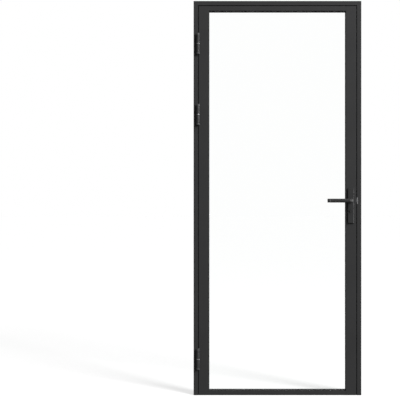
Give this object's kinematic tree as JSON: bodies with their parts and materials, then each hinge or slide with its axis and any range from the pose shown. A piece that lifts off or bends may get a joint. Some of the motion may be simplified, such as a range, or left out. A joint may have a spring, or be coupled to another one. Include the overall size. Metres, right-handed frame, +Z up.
{
  "type": "glass door",
  "caption": "Slim black steel-framed door with a full-height clear glass pane, hung in its frame on barrel hinges, with a lever handle on a long plate and a cylinder lock",
  "frame": {"origin": "on the floor, at the middle of the frame's width and of the leaf's thickness", "axes": "+X to the lock side, +Y away from the side the leaf opens to, +Z up"},
  "size_m": [0.9, 0.171, 2.115],
  "materials": {
    "coated_steel": "matte",
    "black_fitting": "satin",
    "black_cylinder": "satin",
    "bright_steel": "satin",
    "clear_glass": "polished",
    "black_rubber": "matte"
  },
  "bodies": {
    "frame": {"hinge_jamb": "coated_steel", "lock_jamb": "coated_steel", "head_jamb": "coated_steel", "rebate_seal": "black_rubber", "strike_plate": "bright_steel", "strike_backing": "bright_steel", "strike_screws": "bright_steel", "lower_knuckle_top": "coated_steel", "lower_knuckle_middle": "coated_steel", "lower_knuckle_bottom": "coated_steel", "hinge_pin_top": "bright_steel", "hinge_pin_middle": "bright_steel", "hinge_pin_bottom": "bright_steel", "hinge_ring_top": "bright_steel", "hinge_ring_middle": "bright_steel", "hinge_ring_bottom": "bright_steel"},
    "leaf": {"hinge_stile": "coated_steel", "lock_stile": "coated_steel", "top_rail": "coated_steel", "bottom_rail": "coated_steel", "glass_pane": "clear_glass", "setting_blocks": "black_rubber", "front_gasket": "black_rubber", "back_gasket": "black_rubber", "bead_top": "coated_steel", "bead_bottom": "coated_steel", "bead_hinge_side": "coated_steel", "bead_lock_side": "coated_steel", "bead_studs": "bright_steel", "upper_knuckle_top": "coated_steel", "upper_knuckle_middle": "coated_steel", "upper_knuckle_bottom": "coated_steel", "lock_case": "bright_steel", "lock_cover": "bright_steel", "lock_forend": "bright_steel", "lock_lugs": "bright_steel", "forend_screws": "bright_steel", "cylinder_body": "black_cylinder", "cylinder_screw": "bright_steel", "front_plate": "black_fitting", "back_plate": "black_fitting", "plate_bolts": "bright_steel"},
    "handle": {"front_lever": "black_fitting", "back_lever": "black_fitting", "lever_screws": "bright_steel", "spindle": "bright_steel", "follower": "bright_steel"},
    "latch": {"latch_bolt": "bright_steel"},
    "key_plugs": {"front_plug": "black_cylinder", "back_plug": "black_cylinder", "cylinder_cam": "bright_steel"},
    "bolt": {"deadbolt": "bright_steel"}
  },
  "joints": [
    {"name": "door_swing", "type": "hinge", "parent": "frame", "child": "leaf", "pos_m": [-0.42475, -0.0335, 0], "axis": [0, 0, -1], "range_deg": [0, 170]},
    {"name": "handle_turn", "type": "hinge", "parent": "leaf", "child": "handle", "pos_m": [0.393, 0, 1.044], "axis": [0, -1, 0], "range_deg": [0, 36], "stiffness_Nm_per_rad": 1.5, "springref_deg": -45.84},
    {"name": "latch_slide", "type": "slide", "parent": "leaf", "child": "latch", "axis": [-1, 0, 0], "range_m": [0, 0.009]},
    {"name": "key_turn", "type": "hinge", "parent": "leaf", "child": "key_plugs", "pos_m": [0.393, 0, 0.991], "axis": [0, 1, 0], "range_deg": [0, 360]},
    {"name": "deadbolt_slide", "type": "slide", "parent": "leaf", "child": "bolt", "axis": [1, 0, 0], "range_m": [0, 0.014]}
  ],
  "couplings": [
    {"joint": "latch_slide", "follows": "handle_turn", "m_per_rad": 0.014263},
    {"joint": "key_turn", "follows": "deadbolt_slide", "rad_per_m": 448.79}
  ]
}
